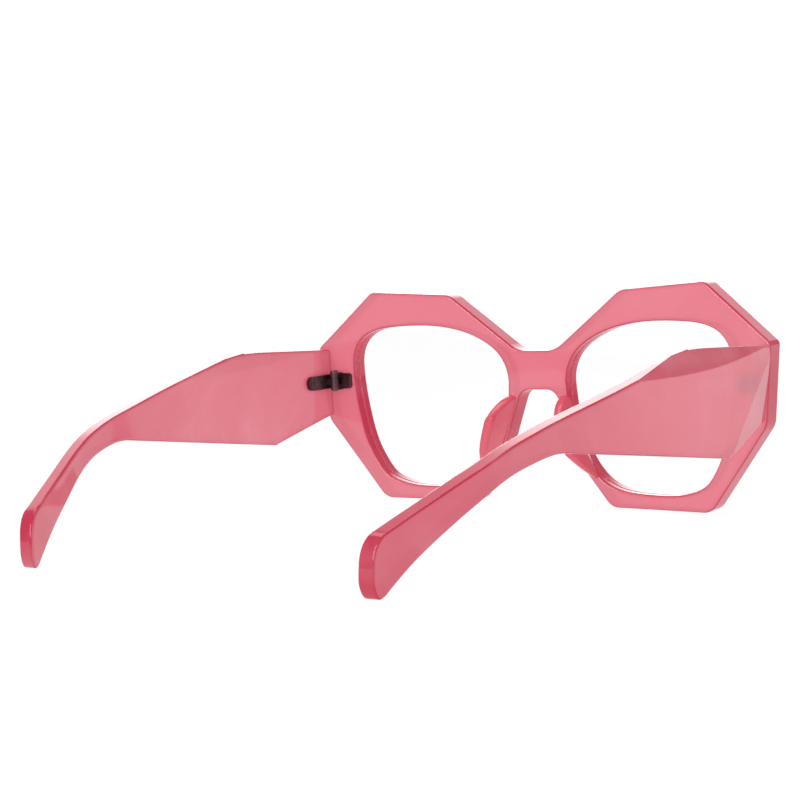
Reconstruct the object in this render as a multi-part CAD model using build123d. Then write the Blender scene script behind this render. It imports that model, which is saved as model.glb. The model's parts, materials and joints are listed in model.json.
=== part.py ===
from build123d import *
import math
import os

# Geometric eyeglasses: chunky eight-sided front, two clear flat-power lenses,
# two bonded nose pads, two tall faceted temples on three-knuckle hinges.
# Millimetres. +Z up, the front faces -Y, the temples run back along +Y,
# the wearer's left is +X. Origin: mid-plane, back face at the bridge,
# height of the lens centre line. One-sided pieces are built at +X and mirrored.
# "Depth" is measured forward of the curved back face of the front.

BASE = (Align.CENTER, Align.CENTER, Align.MIN)   # stands on its origin
CORNER = (Align.MIN, Align.MIN, Align.MIN)       # lowest corner on its origin

# ---- front -------------------------------------------------------------
HALF_WIDTH = 72.5
WRAP_SAG = 4.8         # how far the back face comes back at HALF_WIDTH
WRAP_RADIUS = (HALF_WIDTH**2 + WRAP_SAG**2) / (2 * WRAP_SAG)
FRONT_THICKNESS = 5.5
SLAB_HALF_WIDTH, SLAB_HEIGHT = 82.0, 120.0       # curved tool plates, larger than the front
UPRIGHT_DEPTH = 60.0                             # tool prisms, deeper than the front
RIM_ROUNDINGS = (1.2, 1.0, 0.8, 0.6, 0.4)

# +X half of the outline, from the top of the bridge round to its underside:
# x, z, corner radius
OUTLINE = [
    (6.0, 16.5, 9.0), (27.6, 32.3, 6.0), (53.7, 33.8, 3.2), (72.5, 18.2, 1.6),
    (70.3, -2.5, 5.0), (52.6, -25.3, 5.0), (21.8, -25.4, 4.5), (13.4, -15.1, 14.0),
    (8.9, -3.0, 14.0), (5.4, 5.9, 4.0),
]

# +X lens opening, counterclockwise in x, z
OPENING = [
    (9.5, 7.5), (10.0, 1.9), (11.3, -4.7), (13.5, -10.1), (16.4, -14.9),
    (20.2, -18.5), (24.8, -20.5), (30.4, -21.3), (37.0, -21.5), (43.6, -21.1),
    (48.3, -19.9), (51.5, -18.2), (54.3, -14.8), (56.9, -9.9), (58.9, -3.2),
    (60.3, 5.1), (60.8, 11.9), (60.2, 16.9), (57.7, 20.6), (53.0, 22.9),
    (46.5, 23.8), (40.0, 24.0), (34.0, 23.8), (28.0, 23.0), (21.9, 21.4),
    (16.5, 18.9), (12.3, 15.6), (10.1, 11.8),
]

# ---- lenses ------------------------------------------------------------
GROOVE_REACH = 0.7             # how far the groove cuts into the rim
GROOVE_DEPTHS = (2.1, 2.9)     # depths of the groove walls
LENS_DEPTHS = (1.5, 3.5)       # depths of the lens faces
LENS_GAP = 0.12                # lens face edge to rim wall
OFFSET_POINTS = 44             # points on a loop offset from the opening

# ---- nose pads ---------------------------------------------------------
# Three rings from the front to the crest: y, then the x, z points of the loop
PAD_RINGS = [
    (-1.2, [(6.9, 3.6), (9.3, -3.2), (12.6, -11.0), (16.0, -17.6), (18.2, -18.6),
            (17.4, -15.6), (14.8, -11.0), (12.6, -5.0), (11.2, 1.0), (9.0, 4.6)]),
    (4.2, [(8.2, 1.6), (9.8, -3.4), (12.4, -9.8), (15.0, -14.4), (16.6, -14.8),
           (16.4, -11.6), (15.0, -7.4), (13.4, -2.8), (12.0, 0.8), (10.0, 2.6)]),
    (7.8, [(10.0, -1.6), (10.7, -4.6), (12.1, -8.4), (13.4, -10.9), (14.5, -11.0),
           (14.7, -9.0), (14.0, -6.0), (13.1, -3.2), (12.1, -1.2), (11.0, -0.7)]),
]
PAD_ROUNDINGS = (1.0, 0.8, 0.6, 0.4)
PAD_TRIM_DEPTH = 8.0           # the pad is cleared from the back face to here

# ---- temples -----------------------------------------------------------
JOINT_GAP = 0.08       # temple end face to the front's back face when open

# Outer side in plan: y, x
TEMPLE_PLAN = [
    (3.0, 72.25), (16.0, 72.71), (30.0, 72.95), (45.0, 72.63), (60.0, 71.84),
    (75.0, 70.57), (90.0, 68.32), (100.0, 66.76), (108.0, 64.74), (114.0, 62.77),
    (120.0, 60.21), (126.0, 57.75), (132.0, 55.28), (138.0, 52.92), (146.0, 49.59),
]
# Thickness along the temple: y, thickness
TEMPLE_THICKNESS = [(3.0, 3.75), (30.0, 3.75), (75.0, 4.0), (110.0, 4.2), (146.0, 4.4)]

# Side profile, back along the top, round the tip, forward along the bottom: y, z
TOP = [(2.0, 17.6), (40.0, 20.0), (47.7, 19.2), (92.7, 9.7)]
TOP_CURVE = [
    (92.7, 9.7), (100.9, 7.6), (107.3, 5.5), (112.7, 3.1), (117.7, 0.8),
    (122.7, -1.6), (127.1, -3.7), (131.7, -5.9), (135.0, -7.5), (136.9, -8.6),
]
TIP = [
    (138.7, -11.4), (139.5, -16.0), (139.3, -19.4), (138.0, -21.2), (136.4, -20.4),
    (134.8, -18.9),
]
BOTTOM_CURVE = [
    (134.8, -18.9), (130.3, -15.0), (126.0, -11.8), (121.7, -8.9), (117.4, -6.1),
    (112.7, -3.2), (107.4, -0.5), (100.1, 1.6), (90.5, 2.2),
]
BOTTOM = [(90.5, 2.2), (29.2, -7.1), (2.0, -0.6)]

# Directions (y, z) in which the curved stretches start and end
TOP_START = (1.0, -0.211)
TOP_END = (1.0, -0.9)
BOTTOM_START = (-1.0, 0.9)
BOTTOM_END = (-1.0, -0.152)

# Facets on the outer side: three points on the plane, then one on the cut-off side
FACETS = [
    # upper, rising inward from a near-level ridge
    ((72.47, 9.32, 17.3), (71.36, 65.62, 15.12), (69.14, 40.0, 20.25), (75, 41.5, 24)),
    # lower front, turning in towards the front's slanted side
    ((72.5, 10.05, 10.17), (72.9, 27.33, -6.87), (69.75, 4.6, -1.2), (74, 6, -3)),
]
FACET_RIDGES = [(72.9, 36.2, 14.8), (72.7, 16.4, 4.4)]   # a point near each facet's ridge
TEMPLE_ROUNDINGS = (0.8, 0.6, 0.4)
RIDGE_ROUNDINGS = (0.8, 0.5, 0.3)

# ---- hinges ------------------------------------------------------------
HINGE_X, HINGE_Y, HINGE_Z = 65.6, 6.6, 8.7     # barrel axis and its mid height
BARREL_RADIUS = 1.25
PIN_RADIUS, BORE_RADIUS = 0.55, 0.60
KNUCKLE_END, KNUCKLE_MID, KNUCKLE_GAP = 1.5, 1.8, 0.05
MID_BOTTOM = HINGE_Z - KNUCKLE_MID / 2
MID_TOP = HINGE_Z + KNUCKLE_MID / 2
BARREL_BOTTOM = MID_BOTTOM - KNUCKLE_GAP - KNUCKLE_END
BARREL_TOP = MID_TOP + KNUCKLE_GAP + KNUCKLE_END

PLATE_HEIGHT = 4.4
PLATE_ROUNDING = 0.9
LEAF_TRIM = 0.2                # temple plate is lower than PLATE_HEIGHT by this at each end
LEAF_ROUNDING = 1.9
PEG_RADIUS = 0.6               # pegs sunk in the front or the temple
BUTTON_RADIUS = 0.5            # low buttons on the plates, in line with the pegs
FRONT_PEG_X = HINGE_X - 2.7
FRONT_PEG_RISE = 1.15          # above and below the mid height
TEMPLE_PEG_YS = (HINGE_Y + 3.2, HINGE_Y + 6.4)
TEMPLE_INNER_X = TEMPLE_PLAN[0][1] - TEMPLE_THICKNESS[0][1]
LEAF_INNER_X = TEMPLE_INNER_X - 0.9
LEAF_OUTER_X = TEMPLE_INNER_X + 0.65

SCREW_TAIL = 0.35              # shank below the barrel
SHANK_IN_HEAD = 0.3
HEAD_RADIUS, HEAD_HEIGHT, HEAD_ROUNDING = 1.15, 0.75, 0.25
SLOT_WIDTH, SLOT_DEPTH = 0.32, 0.35


# ---- helpers -----------------------------------------------------------
def back_face_y(x, depth=0.0):
    """y of the surface lying depth forward of the front's back face."""
    return WRAP_RADIUS - math.sqrt((WRAP_RADIUS + depth)**2 - x * x)


def slab(depth_a, depth_b):
    """Curved plate between two depths."""
    def arc(depth):
        y = back_face_y(SLAB_HALF_WIDTH, depth)
        return ThreePointArc((-SLAB_HALF_WIDTH, y), (0, -depth), (SLAB_HALF_WIDTH, y))

    near, far = arc(depth_a), arc(depth_b)
    face = make_face([near, Line(near @ 1, far @ 1), far, Line(far @ 0, near @ 0)])
    return Pos(0, 0, -SLAB_HEIGHT / 2) * extrude(face, SLAB_HEIGHT, dir=(0, 0, 1))


def upright(sketch):
    """Prism on an (x, z) sketch, running along Y and centred on y = 0."""
    return Pos(0, UPRIGHT_DEPTH / 2, 0) * (Rot(90, 0, 0) * extrude(sketch, UPRIGHT_DEPTH))


def soften(part, edges, radii):
    """Round the edges with the first radius that builds, or leave them sharp."""
    for radius in radii:
        # A radius too large for the edges raises an error; the next one is then tried.
        try:
            rounded = fillet(edges, radius)
            if rounded.is_valid and len(rounded.solids()) == len(part.solids()):
                return rounded
        except Exception:
            pass
    return part


def mirrored(shape):
    return mirror(shape, about=Plane.YZ)


def plain(part):
    """The part as its single solid, or as a compound of its solids."""
    solids = part.solids()
    return solids[0] if len(solids) == 1 else Compound(children=list(solids))


def block(x0, x1, y0, y1, z0, z1):
    return Pos(x0, y0, z0) * Box(x1 - x0, y1 - y0, z1 - z0, align=CORNER)


def hinge_rod(radius, z0, z1):
    """Cylinder on the hinge axis."""
    return Pos(HINGE_X, HINGE_Y, z0) * Cylinder(radius, z1 - z0, align=BASE)


def rod_along_y(x, z, y0, y1, radius):
    return Pos(x, y0, z) * (Rot(-90, 0, 0) * Cylinder(radius, y1 - y0, align=BASE))


def rod_along_x(y, z, x0, x1, radius):
    return Pos(x0, y, z) * (Rot(0, 90, 0) * Cylinder(radius, x1 - x0, align=BASE))


# ---- front frame and lenses ----------------------------------------------
def front_outline():
    corners = OUTLINE + [(-x, z, radius) for x, z, radius in reversed(OUTLINE)]
    face = make_face(Polyline(*[(x, z) for x, z, _ in corners], close=True))
    for x, z, radius in corners:
        corner = min(face.vertices(), key=lambda v: (v.X - x) ** 2 + (v.Y - z) ** 2)
        face = fillet(corner, radius)
    return face


def offset_loop(curve, distance):
    """Face in a smooth loop lying distance outside a counterclockwise closed curve."""
    points = []
    for i in range(OFFSET_POINTS):
        point = curve.position_at(i / OFFSET_POINTS)
        tangent = curve.tangent_at(i / OFFSET_POINTS)
        points.append((point.X + tangent.Y * distance, point.Y - tangent.X * distance))
    return make_face(Spline(*points, periodic=True))


def front_blank(opening, flanges):
    """The front with its openings and lens grooves, before the hinges are let in."""
    body = slab(0, FRONT_THICKNESS) & upright(front_outline())
    body = body - upright(opening) - upright(mirrored(opening))

    def runs_through(edge):
        """Whether the edge goes straight from the front face to the back face."""
        size = edge.bounding_box().size
        return size.Y > 5.0 and size.X < 0.01 and size.Z < 0.01

    body = soften(body, [e for e in body.edges() if not runs_through(e)], RIM_ROUNDINGS)
    groove = slab(*GROOVE_DEPTHS)
    for flange in flanges:
        body = body - (groove & upright(flange))
    return body


def lens(clear, flange):
    """Lens body with the thin flange that fills the groove."""
    return (slab(*LENS_DEPTHS) & upright(clear)) + (slab(*GROOVE_DEPTHS) & upright(flange))


# ---- nose pad ------------------------------------------------------------
def nose_pad():
    rings = [
        Wire([Spline(*[(x, y, z) for x, z in points], periodic=True)])
        for y, points in PAD_RINGS
    ]
    pad = Solid.make_loft(rings, False)
    crest_y = PAD_RINGS[-1][0]
    crest = [e for e in pad.edges() if e.bounding_box().min.Y > crest_y - 0.05]
    pad = soften(pad, crest, PAD_ROUNDINGS)
    return pad - slab(0.0, PAD_TRIM_DEPTH)


# ---- hinge ---------------------------------------------------------------
def hinge_bore():
    return hinge_rod(BORE_RADIUS, BARREL_BOTTOM - 1, BARREL_TOP + 1)


def front_hinge():
    """Plate let into the front's back face, with the two end knuckles."""
    y0 = back_face_y(HINGE_X) - 0.5
    y1 = back_face_y(HINGE_X) + 0.85
    leaf = block(HINGE_X - 4.0, HINGE_X + 1.0, y0, y1,
                 HINGE_Z - PLATE_HEIGHT / 2, HINGE_Z + PLATE_HEIGHT / 2)
    inner_corners = [e for e in leaf.edges() if e.bounding_box().size.Y > 0.5
                     and e.bounding_box().max.X < HINGE_X - 3.5]
    leaf = fillet(inner_corners, PLATE_ROUNDING)
    for z0, z1 in ((BARREL_BOTTOM, BARREL_BOTTOM + KNUCKLE_END),
                   (BARREL_TOP - KNUCKLE_END, BARREL_TOP)):
        leaf = leaf + hinge_rod(BARREL_RADIUS, z0, z1)
        leaf = leaf + block(HINGE_X - 1.0, HINGE_X + BARREL_RADIUS * 0.72,
                            y0 + 0.6, HINGE_Y, z0, z1)
    leaf = leaf - hinge_bore()
    for start, end, radius in ((y0 - 2.2, y0 + 0.2, PEG_RADIUS),
                               (y1 - 0.1, y1 + 0.22, BUTTON_RADIUS)):
        for z in (HINGE_Z + FRONT_PEG_RISE, HINGE_Z - FRONT_PEG_RISE):
            leaf = leaf + rod_along_y(FRONT_PEG_X, z, start, end, radius)
    return leaf


def temple_hinge():
    """Plate let into the temple's inner side, with the middle knuckle."""
    half_height = PLATE_HEIGHT / 2 - LEAF_TRIM
    leaf = block(LEAF_INNER_X, LEAF_OUTER_X, HINGE_Y - 1.1, HINGE_Y + 8.6,
                 HINGE_Z - half_height, HINGE_Z + half_height)
    rear_corners = [e for e in leaf.edges() if e.bounding_box().size.X > 0.5
                    and e.bounding_box().min.Y > HINGE_Y + 5]
    leaf = fillet(rear_corners, LEAF_ROUNDING)
    leaf = leaf + hinge_rod(BARREL_RADIUS, MID_BOTTOM, MID_TOP)
    leaf = leaf + block(HINGE_X + 0.2, LEAF_INNER_X + 0.2, HINGE_Y - 0.9, HINGE_Y + 1.0,
                        MID_BOTTOM, MID_TOP)
    leaf = leaf - hinge_bore()
    for y in TEMPLE_PEG_YS:
        leaf = leaf + rod_along_x(y, HINGE_Z, LEAF_OUTER_X - 0.2, LEAF_OUTER_X + 1.6,
                                  PEG_RADIUS)
        leaf = leaf + rod_along_x(y, HINGE_Z, LEAF_INNER_X - 0.18, LEAF_INNER_X + 0.1,
                                  BUTTON_RADIUS)
    return leaf


def hinge_screw():
    """Slotted screw, head up."""
    head_top = BARREL_TOP + HEAD_HEIGHT
    shank = hinge_rod(PIN_RADIUS, BARREL_BOTTOM - SCREW_TAIL, BARREL_TOP + SHANK_IN_HEAD)
    head = hinge_rod(HEAD_RADIUS, BARREL_TOP, head_top)
    head = fillet([e for e in head.edges() if e.bounding_box().min.Z > head_top - 0.01],
                  HEAD_ROUNDING)
    slot = block(HINGE_X - 2, HINGE_X + 2, HINGE_Y - SLOT_WIDTH / 2,
                 HINGE_Y + SLOT_WIDTH / 2, head_top - SLOT_DEPTH, head_top + 1)
    return shank + head - slot


# ---- temple --------------------------------------------------------------
def thickness_at(y):
    """Temple thickness at y, interpolated between the stations."""
    for (y0, t0), (y1, t1) in zip(TEMPLE_THICKNESS, TEMPLE_THICKNESS[1:]):
        if y <= y1:
            return t0 + (t1 - t0) * (y - y0) / (y1 - y0)


def temple_blank():
    """Plan and side profile crossed, with the end face following the front."""
    outer = Spline(*[(x, y) for y, x in TEMPLE_PLAN])
    inner = Spline(*[(x - thickness_at(y), y) for y, x in TEMPLE_PLAN])
    plan = make_face([outer, Line(outer @ 1, inner @ 1), inner, Line(inner @ 0, outer @ 0)])
    plan = Pos(0, 0, -40) * extrude(plan, 90, dir=(0, 0, 1))

    side = make_face([
        Polyline(*TOP),
        Spline(*TOP_CURVE, tangents=[TOP_START, TOP_END]),
        Spline(TOP_CURVE[-1], *TIP, tangents=[TOP_END, BOTTOM_START]),
        Spline(*BOTTOM_CURVE, tangents=[BOTTOM_START, BOTTOM_END]),
        Polyline(*BOTTOM),
        Line(BOTTOM[-1], TOP[0]),
    ])
    side = Pos(40, 0, 0) * extrude(Plane.YZ * side, 45, dir=(1, 0, 0))
    return (plan & side) - slab(-JOINT_GAP, 20.0)


def cut_facet(body, a, b, c, outside):
    """Cut the body along the plane a, b, c, dropping the outside point's side."""
    along = Vector(*b) - Vector(*a)
    plane = Plane(origin=a, x_dir=along, z_dir=along.cross(Vector(*c) - Vector(*a)))
    if plane.to_local_coords(Vector(*outside)).Z < 0:
        plane = Plane(origin=a, x_dir=plane.x_dir, z_dir=-plane.z_dir)
    return body - plane * Box(400, 400, 60, align=BASE)


def temple(hinge):
    body = temple_blank()
    long_edges = [e for e in body.edges() if e.length > 6.0 and e.position_at(0.5).Y > 6.0]
    body = soften(body, long_edges, TEMPLE_ROUNDINGS)
    for facet in FACETS:
        body = cut_facet(body, *facet)
    for ridge in FACET_RIDGES:
        edge = min((e for e in body.edges() if e.length > 20.0),
                   key=lambda e: (e.position_at(0.5) - Vector(*ridge)).length)
        body = soften(body, [edge], RIDGE_ROUNDINGS)
    return plain(body - hinge)


# ---- assembly and export -------------------------------------------------
opening_curve = Spline(*OPENING, periodic=True)
# four arcs, so that the rim wall is split into four faces
opening = make_face([opening_curve.trim(q / 4, (q + 1) / 4) for q in range(4)])
flange = offset_loop(opening_curve, GROOVE_REACH)
clear = offset_loop(opening_curve, -LENS_GAP)

front_leaf = front_hinge()
temple_leaf = temple_hinge()
blank = front_blank(opening, (flange, mirrored(flange)))

parts = {
    "front_frame": blank - front_leaf - mirrored(front_leaf),
    "lens_left": lens(clear, flange),
    "lens_right": lens(mirrored(clear), mirrored(flange)),
}
pairs = {
    "nose_pad": nose_pad(),
    "front_hinge": front_leaf,
    "temple_hinge": temple_leaf,
    "hinge_screw": hinge_screw(),
    "temple": temple(temple_leaf),
}
for name, shape in pairs.items():
    parts[f"{name}_left"] = shape
    parts[f"{name}_right"] = mirrored(shape)

os.makedirs("parts", exist_ok=True)
for name, part in parts.items():
    shape = plain(part)
    shape.label = name
    export_step(shape, f"parts/{name}.step")
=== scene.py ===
"""Glasses in milky, translucent pink-red plastic with clear lenses, on a white floor.

Metres, +Z up. The front spans X with its broad faces along Y; the arms run
towards +Y with their broad faces along X. The camera stands at -X, +Y, on the
side of the arm tips.
"""

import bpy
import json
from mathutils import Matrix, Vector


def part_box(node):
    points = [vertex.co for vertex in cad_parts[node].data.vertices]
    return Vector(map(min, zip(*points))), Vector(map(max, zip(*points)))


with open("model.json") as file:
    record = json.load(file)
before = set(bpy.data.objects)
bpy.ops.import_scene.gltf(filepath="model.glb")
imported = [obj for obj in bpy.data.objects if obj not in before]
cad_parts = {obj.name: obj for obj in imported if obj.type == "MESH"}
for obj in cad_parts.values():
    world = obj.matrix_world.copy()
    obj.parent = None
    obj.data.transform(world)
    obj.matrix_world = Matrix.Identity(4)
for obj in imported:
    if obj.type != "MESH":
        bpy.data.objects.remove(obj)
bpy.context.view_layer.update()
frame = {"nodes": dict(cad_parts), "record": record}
import json

import bmesh
import bpy
from mathutils import Matrix, Vector

pieces = frame["nodes"]
slot_of = {part["node"]: part["material_slot"] for part in frame["record"]["subparts"]}
scene = bpy.context.scene

X_AXIS, Y_AXIS = 0, 1
WHITE = (1.0, 1.0, 1.0)


# ---------------------------------------------------------------- node helper
class Tree:
    """Builds the node tree of a material or a world."""

    def __init__(self, owner, output_kind="OutputMaterial"):
        owner.use_nodes = True
        self.owner = owner
        self.tree = owner.node_tree
        self.tree.nodes.clear()
        self.output = self.tree.nodes.new("ShaderNode" + output_kind)

    def feed(self, socket, value):
        """Link a socket into an input, or set the input to a plain value."""
        if isinstance(value, bpy.types.NodeSocket):
            self.tree.links.new(value, socket)
        elif socket.type == "RGBA":
            socket.default_value = (*value, 1.0)
        else:
            socket.default_value = value

    def node(self, kind, inputs=None, **settings):
        """Add a node and return its outputs; inputs are keyed by name or index."""
        node = self.tree.nodes.new("ShaderNode" + kind)
        for key, value in settings.items():
            setattr(node, key, value)
        for key, value in (inputs or {}).items():
            self.feed(node.inputs[key], value)
        return node.outputs

    def finish(self, shader):
        self.feed(self.output.inputs["Surface"], shader)
        return self.owner

    def math(self, operation, first, *second):
        inputs = dict(enumerate((first, *second)))
        return self.node("Math", inputs, operation=operation)[0]

    def remap(self, value, span, to=(0.0, 1.0)):
        """Map the span linearly onto another range, clamped at its ends."""
        return self.node("MapRange", {
            "Value": value,
            "From Min": span[0], "From Max": span[1],
            "To Min": to[0], "To Max": to[1],
        })["Result"]

    def mix_color(self, factor, first, second):
        # inputs 6 and 7 and output 2 are the colour sockets
        inputs = {0: factor, 6: first, 7: second}
        return self.node("Mix", inputs, data_type="RGBA", blend_type="MIX")[2]

    def mix(self, factor, first, second):
        return self.node("MixShader", {0: factor, 1: first, 2: second})[0]

    def noise(self, scale, detail=2.0, roughness=0.5, distortion=0.0, stretch=(1, 1, 1)):
        coords = self.node("TexCoord")["Object"]
        mapped = self.node("Mapping", {"Scale": stretch, "Vector": coords})[0]
        return self.node("TexNoise", {
            "Scale": scale, "Detail": detail, "Roughness": roughness,
            "Distortion": distortion, "Vector": mapped,
        })["Fac"]

    def component(self, source, axis):
        """One axis of an object-space texture coordinate."""
        coords = self.node("TexCoord")[source]
        return self.node("SeparateXYZ", {0: coords})[axis]


def material_tree(name):
    return Tree(bpy.data.materials.new(name))


# ---------------------------------------------------------------- plastic
EDGE_RADIUS = 0.0016                      # width of the coloured band along edges
TAIL_START, TAIL_END = 0.055, 0.135       # Y range over which the arms deepen
PALE_KEEP = 0.72                          # share of the light colour in the clouds
CLEAR_TINT = (0.93, 0.42, 0.50)           # colour of what is seen through
SHADOW_TINT = (0.72, 0.34, 0.40)          # colour of light leaking into shadows
FINE_SPAN = (0.3, 0.7)                    # useful range of evenly spread noise


def cloud_veil(tree, cloudiness):
    """Milky clouds, broken up by broad streaks."""
    cloud = tree.remap(
        tree.noise(scale=38.0, detail=3.0, roughness=0.55, distortion=1.2), span=(0.35, 0.68))
    streak = tree.remap(
        tree.noise(scale=14.0, distortion=2.2, stretch=(1.0, 0.45, 1.6)), span=(0.38, 0.64))
    return tree.math("MULTIPLY", tree.math("MULTIPLY", cloud, streak), cloudiness)


def colour_depth(tree, true_normal, broad_axis, deep_tail):
    """How far the colour goes from light to deep: the strongest of several causes, painted
    shade on the walls among them.
    """
    facing = tree.node("LayerWeight", {"Blend": 0.5})["Facing"]
    grazing = tree.remap(facing, span=(0.55, 0.98), to=(0.0, 0.8))

    # colour gathers where the rounded normal leaves the true one
    rounded = tree.node("Bevel", {"Radius": EDGE_RADIUS}, samples=6)[0]
    agreement = tree.node(
        "VectorMath", {0: rounded, 1: true_normal}, operation="DOT_PRODUCT")["Value"]
    edge = tree.remap(agreement, span=(0.86, 0.999), to=(0.62, 0.0))
    depth = tree.math("MAXIMUM", grazing, edge)

    if broad_axis is not None:
        # painted shade: walls and facets turned away from the broad axis take the deep
        # colour, standing in for their shade and for the deeper colour seen through the
        # plastic's thickness
        along = tree.math("ABSOLUTE", tree.component("Normal", broad_axis))
        painted_wall_shade = tree.remap(along, span=(0.76, 0.97), to=(0.95, 0.0))
        depth = tree.math("MAXIMUM", depth, painted_wall_shade)
    if deep_tail:
        tail = tree.remap(
            tree.component("Object", Y_AXIS), span=(TAIL_START, TAIL_END), to=(0.0, 0.42))
        depth = tree.math("MAXIMUM", depth, tail)
    return depth


def plastic(name, light, deep, broad_axis=None, see_through=0.30, cloudiness=0.5,
            deep_tail=False):
    """Polished, cloudy plastic: pale on broad faces, deep along edges, with painted shade
    deepening the walls and a painted glow lifting the body.
    """
    tree = material_tree(name)
    veil = cloud_veil(tree, cloudiness)
    geometry = tree.node("NewGeometry")
    depth = colour_depth(tree, geometry["Normal"], broad_axis, deep_tail)

    colour = tree.mix_color(depth, light, deep)
    pale = tuple(min(1.0, c * PALE_KEEP + 0.28) for c in light)
    colour = tree.mix_color(tree.math("MULTIPLY", veil, 0.34), colour, pale)

    # the body: diffuse, light scattered within, and a painted glow, an emission that lifts
    # the colour as if lit; the plastic is no lamp
    fine = tree.noise(scale=900.0, roughness=0.6)
    body = tree.node("BsdfPrincipled", {
        "Base Color": colour,
        "Roughness": tree.remap(fine, span=FINE_SPAN, to=(0.26, 0.34)),
        "Specular IOR Level": 0.0,
    })[0]
    scatter = tree.node("BsdfTranslucent", {"Color": colour})[0]
    inner = tree.mix(factor=0.18, first=body, second=scatter)
    # painted light: emission in the plastic's own colour brightens it as if lit
    glow = tree.node("Emission", {"Color": colour, "Strength": 0.98})[0]
    inner = tree.mix(factor=0.36, first=inner, second=glow)

    # deep and cloudy places let less through
    clear = tree.node("BsdfTransparent", {"Color": CLEAR_TINT})[0]
    clear_amount = tree.math(
        "MULTIPLY",
        tree.remap(depth, span=(0.0, 0.8), to=(1.0, 0.35)),
        tree.remap(veil, span=(0.0, 1.0), to=(see_through, see_through * 0.6)))
    inner = tree.mix(clear_amount, inner, clear)

    # polished surface with faint waviness, on front faces only
    wave = tree.node("Bump", {
        "Strength": 0.05,
        "Distance": 0.0004,
        "Height": tree.noise(scale=120.0, detail=1.0, roughness=0.4),
    })[0]
    fresnel = tree.node("Fresnel", {"IOR": 1.50, "Normal": wave})[0]
    shine = tree.node("BsdfGlossy", {
        "Color": WHITE,
        "Roughness": tree.remap(fine, span=FINE_SPAN, to=(0.05, 0.09)),
        "Normal": wave,
    })[0]
    front_side = tree.math("SUBTRACT", 1.0, geometry["Backfacing"])
    surface = tree.mix(tree.math("MULTIPLY", fresnel, front_side), inner, shine)

    # tinted light passes through into the shadows
    shadow_ray = tree.node("LightPath")["Is Shadow Ray"]
    leak = tree.node("BsdfTransparent", {"Color": SHADOW_TINT})[0]
    return tree.finish(tree.mix(shadow_ray, surface, leak))


# ---------------------------------------------------------------- lens
def lens(name):
    """Clear lens with a faint blue-violet coating."""
    tree = material_tree(name)
    drift = tree.noise(scale=9.0, detail=1.0, roughness=0.4)

    def drifting(first, second):
        return tree.mix_color(tree.remap(drift, span=FINE_SPAN), first, second)

    clear = tree.node("BsdfTransparent", {
        "Color": drifting((0.997, 0.998, 1.0), (1.0, 0.999, 0.994)),
    })[0]
    shine = tree.node("BsdfGlossy", {
        "Roughness": 0.02,
        "Color": drifting((0.86, 0.88, 1.0), (0.93, 0.90, 1.0)),
    })[0]

    # a weakened reflection, on the broad faces only and never for shadows
    fresnel = tree.node("Fresnel", {"IOR": 1.5})[0]
    shadow_ray = tree.node("LightPath")["Is Shadow Ray"]
    along = tree.math("ABSOLUTE", tree.component("Normal", Y_AXIS))
    broad = tree.remap(along, span=(0.80, 0.95))
    amount = tree.math("MULTIPLY", tree.math("MULTIPLY", fresnel, 0.20), broad)
    amount = tree.math("MULTIPLY", amount, tree.math("SUBTRACT", 1.0, shadow_ray))
    return tree.finish(tree.mix(amount, clear, shine))


# ---------------------------------------------------------------- metal
def metal(name, dark, worn, roughness, brush_scale, brush_stretch):
    """Dark plated steel with fine brushing and slight wear."""
    tree = material_tree(name)
    brush = tree.noise(scale=brush_scale, detail=4.0, roughness=0.7, distortion=0.3,
                       stretch=brush_stretch)
    wear = tree.noise(scale=180.0, detail=3.0, roughness=0.6)
    body = tree.node("BsdfPrincipled", {
        "Base Color": tree.mix_color(tree.remap(wear, span=(0.35, 0.7)), dark, worn),
        "Metallic": 0.92,
        "Roughness": tree.remap(brush, span=FINE_SPAN, to=roughness),
        "Normal": tree.node(
            "Bump", {"Strength": 0.25, "Distance": 0.00004, "Height": brush})[0],
    })[0]
    return tree.finish(body)


# ---------------------------------------------------------------- looks by slot
looks = {
    "frame_plastic": plastic(
        "frame_plastic_look", light=(0.740, 0.222, 0.284), deep=(0.540, 0.022, 0.068),
        broad_axis=Y_AXIS),
    "temple_plastic": plastic(
        "temple_plastic_look", light=(0.785, 0.232, 0.294), deep=(0.500, 0.014, 0.058),
        broad_axis=X_AXIS, cloudiness=0.9, deep_tail=True),
    "pad_plastic": plastic(
        "pad_plastic_look", light=(0.680, 0.100, 0.150), deep=(0.520, 0.032, 0.076),
        see_through=0.16),
    "lens": lens("lens_look"),
    "hinge_metal": metal(
        "hinge_metal_look", dark=(0.085, 0.040, 0.046), worn=(0.150, 0.080, 0.088),
        roughness=(0.28, 0.42), brush_scale=600.0, brush_stretch=(1, 1, 6)),
    "screw_metal": metal(
        "screw_metal_look", dark=(0.110, 0.070, 0.075), worn=(0.200, 0.150, 0.155),
        roughness=(0.2, 0.34), brush_scale=800.0, brush_stretch=(1, 1, 1)),
}
for name, piece in pieces.items():
    piece.data.materials.clear()
    piece.data.materials.append(looks[slot_of[name]])

# ---------------------------------------------------------------- floor
FLOOR_SIZE = 6.0
FLOOR_CELLS = 24
FLOOR_GAP = 0.0006      # below the lowest piece


def floor_look():
    """Almost evenly glowing white paper."""
    tree = material_tree("floor_look")
    grain = tree.remap(tree.noise(scale=30.0), span=FINE_SPAN)
    paper = tree.node("BsdfDiffuse", {
        "Color": tree.mix_color(grain, (0.96, 0.96, 0.96), (0.98, 0.98, 0.98)),
    })[0]
    glow = tree.node("Emission", {"Strength": 1.02})[0]
    return tree.finish(tree.mix(factor=0.93, first=paper, second=glow))


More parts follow.
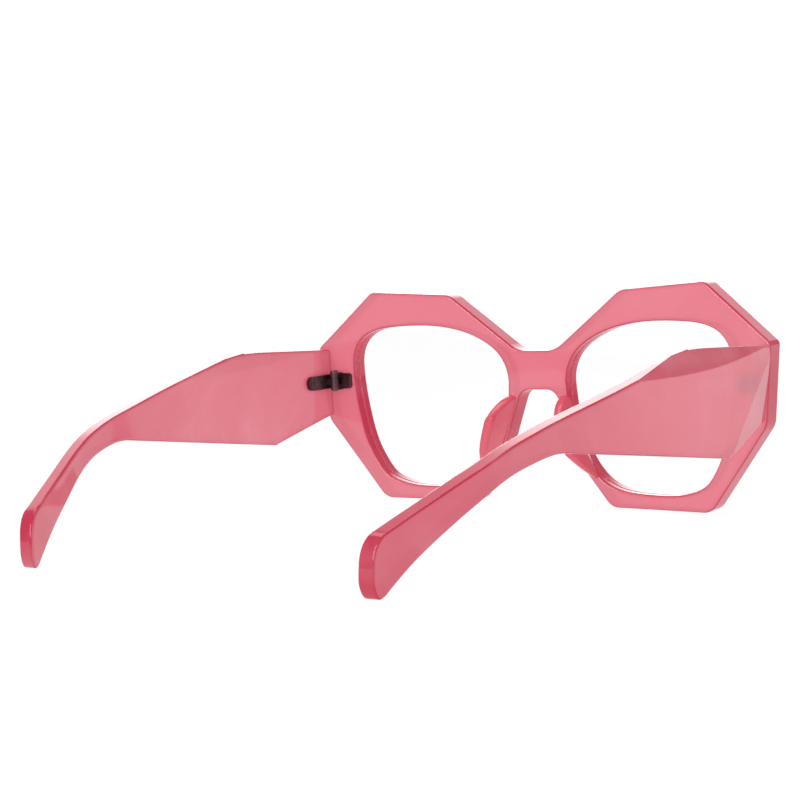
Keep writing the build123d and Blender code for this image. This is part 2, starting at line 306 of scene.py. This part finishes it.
def add_floor():
    height = min(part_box(name)[0].z for name in pieces) - FLOOR_GAP
    steps = [FLOOR_SIZE * (i / FLOOR_CELLS - 0.5) for i in range(FLOOR_CELLS + 1)]
    bm = bmesh.new()
    grid = [[bm.verts.new((x, y, height)) for y in steps] for x in steps]
    for i in range(FLOOR_CELLS):
        for j in range(FLOOR_CELLS):
            bm.faces.new((grid[i][j], grid[i + 1][j], grid[i + 1][j + 1], grid[i][j + 1]))
    mesh = bpy.data.meshes.new("floor")
    bm.to_mesh(mesh)
    bm.free()
    floor = bpy.data.objects.new("floor", mesh)
    scene.collection.objects.link(floor)
    mesh.materials.append(floor_look())


add_floor()

# ---------------------------------------------------------------- world
CARD_DIRECTION = (0.606, -0.776, 0.174)     # low, beyond the glasses from the camera


def studio_world():
    """White backdrop, soft fill, and a bright card seen only in reflections."""
    world = bpy.data.worlds.new("studio")
    scene.world = world
    tree = Tree(world, "OutputWorld")

    def background(color, strength):
        return tree.node("Background", {"Color": color, "Strength": strength})[0]

    seen = background(WHITE, strength=1.05)
    soft = background((1.0, 0.995, 0.99), strength=0.72)
    ray = tree.node("LightPath")
    direction = tree.node("TexCoord")["Generated"]
    toward_card = tree.node(
        "VectorMath", {0: direction, 1: CARD_DIRECTION}, operation="DOT_PRODUCT")["Value"]
    card_strength = tree.remap(toward_card, span=(0.70, 0.93), to=(0.30, 3.0))
    reflected = background(WHITE, card_strength)
    sharp = tree.mix(ray["Is Glossy Ray"], seen, reflected)
    tree.finish(tree.mix(ray["Is Diffuse Ray"], sharp, soft))


studio_world()


# ---------------------------------------------------------------- lights
def area_light(name, location, target, size, watts):
    data = bpy.data.lights.new(name, "AREA")
    data.shape = "RECTANGLE"
    data.size, data.size_y = size
    data.energy = watts
    data.color = WHITE
    light = bpy.data.objects.new(name, data)
    light.location = location
    aim = Vector(target) - Vector(location)
    light.rotation_euler = aim.to_track_quat("-Z", "Y").to_euler()
    scene.collection.objects.link(light)


area_light("key", location=(0.10, 0.95, 0.35), target=(0.0, 0.03, 0.0),
           size=(0.7, 0.5), watts=4.5)
area_light("overhead", location=(0.25, 0.10, 0.75), target=(0.0, 0.04, 0.0),
           size=(0.5, 0.5), watts=1.6)

# ---------------------------------------------------------------- camera
SENSOR_WIDTH_MM = 36.0
FOCAL_LENGTH_MM = 85.89825
CAMERA_LOCATION = (-0.28762, 0.42843, 0.05263)
# the camera's own X, Y and Z axes in the scene
CAMERA_RIGHT = (-0.78984, -0.61026, -0.06110)
CAMERA_UP = (0.00783, -0.10964, 0.99394)
CAMERA_BACK = (-0.61326, 0.78458, 0.09138)


def add_camera():
    data = bpy.data.cameras.new("view")
    data.sensor_width = SENSOR_WIDTH_MM
    data.lens = FOCAL_LENGTH_MM
    data.clip_start = 0.01
    data.clip_end = 50
    camera = bpy.data.objects.new("view", data)
    camera.matrix_world = Matrix((
        (*CAMERA_RIGHT, 0.0),
        (*CAMERA_UP, 0.0),
        (*CAMERA_BACK, 0.0),
        (*CAMERA_LOCATION, 1.0),
    )).transposed()
    scene.collection.objects.link(camera)
    scene.camera = camera


add_camera()
scene.view_settings.view_transform = "Standard"
scene.view_settings.look = "None"
